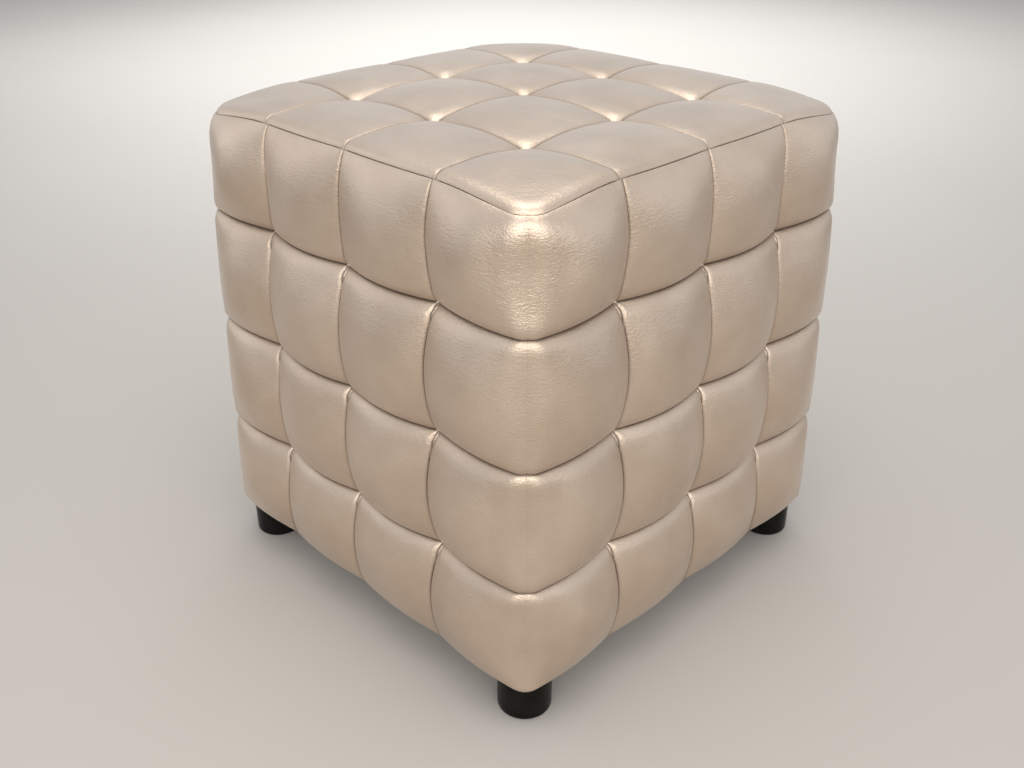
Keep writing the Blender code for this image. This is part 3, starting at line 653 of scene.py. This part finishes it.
def slit(x, y, lines):
    """The narrow line where two pillows press together. Just under each tuft it parts in two, round a
    thin pleat."""
    across = np.abs(x[..., None] - lines[0][1:4])
    column = np.argmin(across, axis=-1)
    offset = x - lines[0][1:4][column]
    below = lines[1][1:4] - y[..., None]
    below = np.where(below >= -PLEAT_START, below, np.inf).min(axis=-1)
    open_share = np.exp(-(((below - PLEAT_DROP) / PLEAT_LENGTH) ** 2))
    parting = PLEAT_WIDTH * open_share
    upright = UPRIGHT_SLIT * np.exp(-np.abs(np.abs(offset) - parting) / SLIT_WIDTH)
    level = np.exp(-to_nearest(lines[1][1:4], y) / SLIT_WIDTH)
    rounding = np.exp(-((offset / (PLEAT_ROUND * PLEAT_WIDTH)) ** 2))
    return PLEAT_HEIGHT * open_share * rounding - SLIT_DEPTH * np.maximum(upright, level)


def painted_crease_shade(x, y, lines):
    """1 in a crease and less beside it, for the painted shade that darkens the leatherette's folds."""
    across = to_nearest(lines[0][1:4], x)
    up = to_nearest(lines[1][1:4], y)
    return np.exp(-np.minimum(across, up) / PAINTED_SHADE_WIDTH)


SIDE_GRID = (COLUMN_LINES, ROW_LINES)
TOP_GRID = (TOP_LINES, TOP_LINES)


def side_relief(x, z, seed):
    """Height of a side's cover over its nominal plane, but for the slits."""
    return tufted(x, z, SIDE_GRID, SIDE_TUFTING) + unevenness(x, z, SIDE_GRID, seed)


def top_relief(x, y, seed):
    """Height of the top's cover over its edge, but for the slits and the lip."""
    return tufted(x, y, TOP_GRID, TOP_TUFTING) + unevenness(x, y, TOP_GRID, seed)


# The body that the panels lie on.


def lean(height):
    """How far out a side stands from its nominal plane. It leans in all the way up, its top row stands
    in a little more, and near its top it rolls in to the seam."""
    row_share = np.clip(2 * (height - HIGH_TUFT) / (SEAM_HEIGHT - HIGH_TUFT), 0.0, 1.0)
    shoulder = np.clip((height - SEAM_HEIGHT) / SHOULDER_HEIGHT + 1, 0.0, 1.0)
    out = SIDE_SLOPE * ((COVER_BOTTOM + SEAM_HEIGHT) / 2 - height)
    out = out - TOP_ROW_INSET * (1 - (1 - row_share) ** 2)
    return out - SHOULDER_INSET * (1 - np.sqrt(1 - shoulder**2))


def corner_dip(x, y):
    """How far the top edge drops at a place near one of its corners."""
    x_share, y_share = (
        np.clip((np.abs(place) - SEAM_HALF) / CORNER_DIP_REACH + 1, 0.0, None) for place in (x, y)
    )
    return CORNER_DIP * (x_share * y_share) ** CORNER_DIP_POWER


def side_corner_radius(z):
    """Radius of the upright corners at a height: small at the creases, large at the pillows, and the
    seam's own radius at the seam."""
    row, row_share = in_cell(ROW_LINES, z)
    fuller = arch(np.where(row == 3, TOP_PILLOW_SHARE, 1.0) * row_share, PILLOW_CORNER_POWER)
    radius = CREASE_CORNER_RADIUS + (PILLOW_CORNER_RADIUS - CREASE_CORNER_RADIUS) * fuller
    at_seam = np.clip((z - SEAM_HEIGHT) / SEAM_CORNER_REACH + 1, 0.0, 1.0)
    return radius + (CORNER_RADIUS - radius) * at_seam * at_seam * (3 - 2 * at_seam)


def wrap(across, half, radius):
    """The place on the front at a distance across it, for a square of that half width and corner
    radius. The ends of a side go half way round the upright corners."""
    centre = half - radius
    flat = HALF - CORNER_RADIUS
    angle = math.radians(45) * np.clip((np.abs(across) - flat) / CORNER_RADIUS, 0.0, 1.0)
    straight = across * (1 - (1 - centre / flat) * np.abs(across) / flat)
    bend = np.sign(across) * (centre + radius * np.sin(angle))
    return np.where(np.abs(across) <= flat, straight, bend), -(centre + radius * np.cos(angle))


# Grids of places, and the closed layers made from them.


def graded(length, finest, growth, coarsest):
    """Places from 0 to length, close together at 0."""
    places, step = [0.0], finest
    while places[-1] < length:
        places.append(places[-1] + step)
        step = min(step * growth, coarsest)
    return np.array(places) * length / places[-1]


def stations(lines, low, high, finest, growth, coarsest):
    """Places across a panel, close together on both sides of each line."""
    found = []
    for start, end in zip(lines, lines[1:]):
        half = graded((end - start) / 2, finest, growth, coarsest)
        found.extend(start + half)
        found.extend(end - half)
    found = np.unique(np.round(np.array(found), 6))
    inside = found[(found > low + finest / 2) & (found < high - finest / 2)]
    return np.concatenate([[low], inside, [high]])


def closed_layer(name, inner, outer, painted_shade_mask=None):
    """A mesh between two grids of points, closed round their edges. Its inner face gets the full painted
    crease shade.
    """
    rows, columns = outer.shape[:2]
    count = rows * columns
    index = np.arange(count).reshape(rows, columns)
    cell = np.stack([index[:-1, :-1], index[:-1, 1:], index[1:, 1:], index[1:, :-1]], -1)
    cell = cell.reshape(-1, 4)
    rim = np.concatenate([index[0], index[1:, -1], index[-1, -2::-1], index[-2:0:-1, 0]])
    after = np.roll(rim, -1)
    wall = np.stack([after, rim, rim + count, after + count], -1)
    faces = np.concatenate([cell, cell[:, ::-1] + count, wall])
    points = np.concatenate([outer.reshape(-1, 3), inner.reshape(-1, 3)])
    a, b, c = (points[faces[:, k]] for k in (0, 1, 2))
    d = points[faces[:, 3]]
    volume = (a * np.cross(b, c)).sum() + (a * np.cross(c, d)).sum()
    if volume < 0:
        faces = faces[:, ::-1]
    mesh = bpy.data.meshes.new(name)
    mesh.vertices.add(len(points))
    mesh.vertices.foreach_set("co", points.astype(np.float32).ravel())
    mesh.loops.add(faces.size)
    mesh.loops.foreach_set("vertex_index", faces.astype(np.int32).ravel())
    mesh.polygons.add(len(faces))
    mesh.polygons.foreach_set("loop_start", np.arange(0, faces.size, 4, dtype=np.int32))
    mesh.update(calc_edges=True)
    # the painted crease shade, stored on the points for the leatherette's colour and roughness
    if painted_shade_mask is not None:
        shade = np.concatenate([painted_shade_mask.ravel(), np.ones(count)])
        layer = mesh.attributes.new("painted_shade_mask", "FLOAT", "POINT")
        layer.data.foreach_set("value", shade.astype(np.float32))
    mesh.shade_smooth()
    mesh.set_sharp_from_angle(angle=COVER_SHARP)
    return mesh


def add_piece(name, mesh, material, replaced=()):
    obj = bpy.data.objects.new(name, mesh)
    bpy.context.scene.collection.objects.link(obj)
    mesh.materials.clear()
    mesh.materials.append(MATERIALS[material])
    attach(obj, "root")
    if replaced:
        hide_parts(*replaced)
    return obj


def turned(points, degrees):
    """Points of the front, turned about Z to another side."""
    angle = math.radians(degrees)
    c, s = round(math.cos(angle)), round(math.sin(angle))
    x, y, z = points[..., 0], points[..., 1], points[..., 2]
    return np.stack([c * x - s * y, s * x + c * y, z], -1)


# The cover.


def side_rows(spacing, low, high, hem):
    """The rows up a side layer, bottom first: out, height, the outward direction as (out, up), and how
    much of the relief each takes. A hem comes in under the base and turns up round the edge."""
    heights = stations(ROW_LINES, low, high, *spacing)
    rows = [(0.0, height, 1.0, 0.0, 1.0) for height in heights]
    if not hem:
        return np.array(rows)
    under = []
    for reach in np.linspace(-HEM_WIDTH, -TURN_RADIUS, HEM_ROWS, endpoint=False):
        under.append((reach, COVER_BOTTOM, 0.0, -1.0, 0.0))
    for turn in np.radians(np.linspace(0, 90, TURN_ROWS)):
        out, up = math.sin(turn), math.cos(turn)
        height = COVER_BOTTOM + TURN_RADIUS * (1 - up)
        under.append((TURN_RADIUS * (out - 1), height, out, -up, out))
    return np.array(under + rows)


def side_layer(seed, spacing, depth_out, depth_in, low, high, cover=False):
    """The front's layer between two depths under the cover's outer face, as (inner, outer, painted crease
    shade).
    A depth_in of None lays the inner face flat on the carcass. The cover has its hem, slits and
    gathers."""
    columns = stations(COLUMN_LINES, -HALF, HALF, *spacing)
    rows = side_rows(spacing, low, high, hem=cover)
    out, heights, normal_out, normal_up, share = rows.T[:, :, None]
    x, height = np.meshgrid(columns, heights)
    edge = HALF - np.abs(x)
    if cover:
        lift = np.exp(-((edge / LIP_FADE) ** 2))
        by_top = np.clip(1 - (high - height) / CORNER_LIFT_HEIGHT, 0.0, 1.0)
        height = height + CORNER_LIFT * lift * by_top
    z = np.maximum(height, COVER_BOTTOM)
    relief = side_relief(x, z, seed)
    face = relief
    if cover:
        face = relief + slit(x, z, SIDE_GRID) + puckers(x, z, SIDE_GRID, seed)
        face = face + gathers(x, z, seed) - CORNER_GROOVE * np.exp(-edge / CORNER_GROOVE_WIDTH)
    top_share = np.clip((z - HIGH_TUFT) / (SIDE_TOP - HIGH_TUFT), 0.0, 1.0)
    dip = top_share**2 * corner_dip(*wrap(x, SEAM_HALF, CORNER_RADIUS))

    def surface(swell, depth):
        if depth is None:
            px, py = wrap(x, CARCASS + GAP, CARCASS_RADIUS + GAP)
            lifted = height
        else:
            level = out + (share * swell - depth) * normal_out
            radius = np.maximum(side_corner_radius(z) + level, TIGHT_RADIUS)
            px, py = wrap(x, HALF + lean(height) + level, radius)
            lifted = height - depth * normal_up
        px = px - np.where(edge < ROUNDING, np.sign(x) * MITRE_GAP, 0.0)
        return np.stack([px, py, lifted - dip], -1)

    return surface(relief, depth_in), surface(face, depth_out), painted_crease_shade(x, z, SIDE_GRID)


def round_cornered(x, y):
    """Places of the top, drawn in towards its corners, which are round as the seam's are."""
    inner = SEAM_HALF - CORNER_RADIUS
    past_x, past_y = np.maximum(np.abs(x) - inner, 0), np.maximum(np.abs(y) - inner, 0)
    both = (past_x > 0) & (past_y > 0)
    reach = np.maximum(np.hypot(past_x, past_y), ROUNDING)
    scale = np.where(both, np.maximum(past_x, past_y) / reach, 1.0)
    px = np.where(both, np.sign(x) * (inner + past_x * scale), x)
    py = np.where(both, np.sign(y) * (inner + past_y * scale), y)
    return px, py


def lip_shift(place, along, lines):
    """How far the top panel's lip stands out at a place, so that it follows the side's swells."""
    half = lines[-1]
    _, share = in_cell(lines, along)
    reach = LIP_REACH * (1 - np.exp(-(((half - np.abs(along)) / LIP_FADE) ** 2))) - SEAM_NOTCH
    reach = reach + SEAM_SWELL * arch(share, SIDE_TUFTING.power)
    beyond = 1 - np.clip((half - np.abs(place)) / LIP_WIDTH, 0.0, 1.0)
    return np.sign(place) * reach * beyond**2


def top_layer(spacing, half, depth_out, depth_in, spread=0.0, cover=False):
    """The top's layer between two depths under the cover's outer face, cut to a square of that half
    width with round corners. A depth_in of None lays the underside flat on the top board, wider by
    spread. The cover has its lip, slits and gathers."""
    seed = SEEDS["top"]
    lines = np.array([-half, -TUFT_REACH, 0.0, TUFT_REACH, half])
    places = stations(lines, -half, half, *spacing)
    x, y = np.meshgrid(places, places)
    px, py = round_cornered(x, y)
    relief = top_relief(x, y, seed)
    face = relief
    if cover:
        face = relief + slit(x, y, TOP_GRID) + puckers(x, y, TOP_GRID, seed)
        edge = half - np.maximum(np.abs(x), np.abs(y))
        over = 1 - np.clip(edge / LIP_WIDTH, 0.0, 1.0)
        lip = -LIP_DROP * (1 - np.sqrt(1 - over**2))
        relief, face = relief + lip, face + lip
        px, py = px + lip_shift(px, y, lines), py + lip_shift(py, x, lines)
    dip = corner_dip(px, py)

    def surface(swell, depth):
        if depth is None:
            wider = 1 + spread / half
            return np.stack([px * wider, py * wider, np.full_like(x, TOP_BOARD_TOP + GAP)], -1)
        return np.stack([px, py, TOP_EDGE + swell - depth - dip], -1)

    if cover:
        smooth = surface(relief, 0.0)
        below = smooth - depth_in * normals(smooth)
    else:
        below = surface(relief, depth_in)
    return below, surface(face, depth_out), painted_crease_shade(x, y, TOP_GRID)


def normals(points):
    """Unit normals of a grid of points, on its upper side."""
    normal = np.cross(np.gradient(points, axis=1), np.gradient(points, axis=0))
    normal *= np.sign(normal[..., 2:].mean())
    return normal / np.linalg.norm(normal, axis=-1, keepdims=True)


def add_cover():
    """The five leatherette panels."""
    for face, degrees in FACES.items():
        inner, outer, painted_shade_mask = side_layer(
            SEEDS[face], FINE, 0.0, COVER_THICKNESS, SIDE_BOTTOM, SIDE_TOP, cover=True
        )
        name = face + "_panel"
        mesh = closed_layer(name, turned(inner, degrees), turned(outer, degrees), painted_shade_mask)
        panel = add_piece(name, mesh, "leatherette", [face + "_cover"])
    inner, outer, painted_shade_mask = top_layer(FINE, SEAM_HALF, 0.0, COVER_THICKNESS, cover=True)
    mesh = closed_layer("top_panel", inner, outer, painted_shade_mask)
    panel = add_piece("top_panel", mesh, "leatherette", ["top_cover"])


def add_padding():
    """Wadding under each panel, and a foam slab under that."""
    wadding, slab = (WADDING_OUTER, WADDING_INNER), (FOAM_OUTER, None)
    for face, degrees in FACES.items():
        for name, material, node, fill, depths, high in (
            ("_batting", "wadding", "_wadding", 0.8, wadding, WADDING_TOP),
            ("_foam_slab", "foam", "_foam", 1.0, slab, TOP_BOARD_TOP),
        ):
            inner, outer, _ = side_layer(SEEDS[face], COARSE, *depths, PAD_BOTTOM, high)
            mesh = closed_layer(face + name, turned(inner, degrees), turned(outer, degrees))
            add_piece(face + name, mesh, material, [face + node])
    half = SEAM_HALF - FOAM_OUTER - PAD_MARGIN
    spread = HALF + float(lean(TOP_BOARD_TOP)) - FOAM_OUTER - PAD_MARGIN - half
    for name, material, node, fill, depths, wider in (
        ("top_batting", "wadding", "top_wadding", 0.8, wadding, 0.0),
        ("top_foam_slab", "foam", "top_foam", 1.0, slab, spread),
    ):
        inner, outer, _ = top_layer(COARSE, half, *depths, wider)
        add_piece(name, closed_layer(name, inner, outer), material, [node])


def swept_tube(name, path, radius, sides=16):
    """A closed ring of tube along a level path of (n, 3) points, with a radius for each point."""
    ahead = np.roll(path, -1, axis=0) - np.roll(path, 1, axis=0)
    ahead /= np.linalg.norm(ahead, axis=1)[:, None]
    side = np.stack([ahead[:, 1], -ahead[:, 0], np.zeros(len(path))], -1)
    turn = 2 * np.pi * np.arange(sides) / sides
    ring = np.cos(turn)[None, :, None] * side[:, None, :]
    ring = ring + np.sin(turn)[None, :, None] * np.array([0.0, 0.0, 1.0])
    points = path[:, None, :] + ring * radius[:, None, None]
    count = len(path)
    index = np.arange(count * sides).reshape(count, sides)
    onward, round_it = np.roll(index, -1, axis=0), np.roll(index, -1, axis=1)
    faces = np.stack([index, onward, np.roll(onward, -1, axis=1), round_it], -1).reshape(-1, 4)
    mesh = bpy.data.meshes.new(name)
    mesh.from_pydata(points.reshape(-1, 3).tolist(), [], faces.tolist())
    form = bmesh.new()
    form.from_mesh(mesh)
    bmesh.ops.recalc_face_normals(form, faces=form.faces)
    form.to_mesh(mesh)
    form.free()
    mesh.shade_smooth()
    return mesh


def add_welt():
    """The cord sewn in between the top panel and the side panels. Most of it is hidden in the seam."""
    across = np.arange(-HALF, HALF, WELT_STEP)
    x, y = wrap(across, SEAM_HALF - WELT_TUCK, CORNER_RADIUS - WELT_TUCK)
    side = np.stack([x, y, SEAM_HEIGHT - corner_dip(x, y)], -1)
    path = np.concatenate([turned(side, degrees) for degrees in FACES.values()])
    wander, lumps = (
        height * smooth_noise(path[:, 0], path[:, 1], size, SEEDS["welt"] + number)
        for number, (height, size) in enumerate((WELT_WANDER, WELT_LUMPS))
    )
    path[:, 2] += wander
    mesh = swept_tube("top_piping", path, WELT_RADIUS - WELT_SQUEEZE + lumps)
    add_piece("top_piping", mesh, "welt_leatherette", ["top_welt"])


# Feet, the underside and the hard parts.


def turned_solid(name, profile, sides, centre):
    """A solid of revolution about an upright axis. The profile runs from the axis round to the axis."""
    form = bmesh.new()
    x, y = centre
    turns = [2 * math.pi * k / sides for k in range(sides)]
    rings = []
    for radius, height in profile:
        on_axis = radius < ROUNDING
        rings.append([
            form.verts.new((x + radius * math.cos(turn), y + radius * math.sin(turn), height))
            for turn in (turns[:1] if on_axis else turns)
        ])
    for one, two in zip(rings, rings[1:]):
        for k in range(sides):
            after = k + 1
            corners = [one[k % len(one)], one[after % len(one)]]
            corners += [two[after % len(two)], two[k % len(two)]]
            form.faces.new(list(dict.fromkeys(corners)))
    bmesh.ops.recalc_face_normals(form, faces=form.faces)
    mesh = bpy.data.meshes.new(name)
    form.to_mesh(mesh)
    form.free()
    mesh.shade_smooth()
    mesh.set_sharp_from_angle(angle=FOOT_SHARP)
    return mesh


def rounded(radius, height, size, start, steps):
    """A quarter round of an outline, clockwise from an angle in degrees. Its centre is at that height
    and one size inside that radius."""
    found = []
    for step in range(steps + 1):
        angle = math.radians(start - 90 * step / steps)
        found.append((radius - size + size * math.cos(angle), height + size * math.sin(angle)))
    return found


def add_feet():
    """Feet with a bore for the insert, rounded edges and a hollow sole."""
    for key in ("front_left", "front_right", "back_left", "back_right"):
        low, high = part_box("foot_" + key)
        centre = ((low.x + high.x) / 2, (low.y + high.y) / 2)
        radius, top = (high.x - low.x) / 2, high.z
        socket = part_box("foot_insert_" + key)
        bore, bore_end = (socket[1].x - socket[0].x) / 2 + GAP, socket[0].z - GAP
        profile = [(0.0, bore_end), (bore, bore_end), (bore, top)]
        profile += rounded(radius, top - FOOT_TOP_ROUND, FOOT_TOP_ROUND, start=90, steps=4)
        profile += [(radius, FOOT_WALL_LOW)]
        profile += rounded(radius, FOOT_BOTTOM_ROUND, FOOT_BOTTOM_ROUND, start=0, steps=8)
        profile += [(radius - FOOT_RIM, 0.0)]
        profile += [(radius - FOOT_RIM - FOOT_RIM_SLOPE, FOOT_HOLLOW), (0.0, FOOT_HOLLOW)]
        mesh = turned_solid("leg_" + key, profile, FOOT_SIDES, centre)
        add_piece("leg_" + key, mesh, "black_plastic", ["foot_" + key])


def add_dust_cloth():
    """Nonwoven cloth under the base, with a little slack between its edges."""
    low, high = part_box("dust_cover")
    half = high.x
    places = np.unique(np.round(stations(COLUMN_LINES, -half, half, *CLOTH), 5))
    x, y = np.meshgrid(places, places)
    inside = half - CLOTH_HOLD - np.maximum(np.abs(x), np.abs(y))
    slack = np.clip(inside / CLOTH_SLACK_REACH, 0, 1)
    height, size = CLOTH_RIPPLE
    sag = -CLOTH_SAG * slack - height * slack * smooth_noise(x, y, size, SEEDS["cloth"])
    outer = np.stack([x, y, low.z + sag], -1)
    inner = np.stack([x, y, high.z + sag], -1)
    mesh = closed_layer("underside_cloth", inner, outer)
    cloth = add_piece("underside_cloth", mesh, "dust_cloth", ["dust_cover"])


def finish_hard_parts():
    """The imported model's own boards, posts, twine and fasteners keep their shape and get a finish."""
    finishes = {
        "plywood": ("_board",),
        "pine": ("corner_post",),
        "twine": ("_twine",),
        "steel": ("hanger_bolt", "foot_insert", "screw"),
    }
    for name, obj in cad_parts.items():
        for material, keys in finishes.items():
            if any(key in name for key in keys):
                obj.data.materials.clear()
                obj.data.materials.append(MATERIALS[material])


add_camera()
add_studio()
add_floor()
add_cover()
add_padding()
add_welt()
add_feet()
add_dust_cloth()
finish_hard_parts()
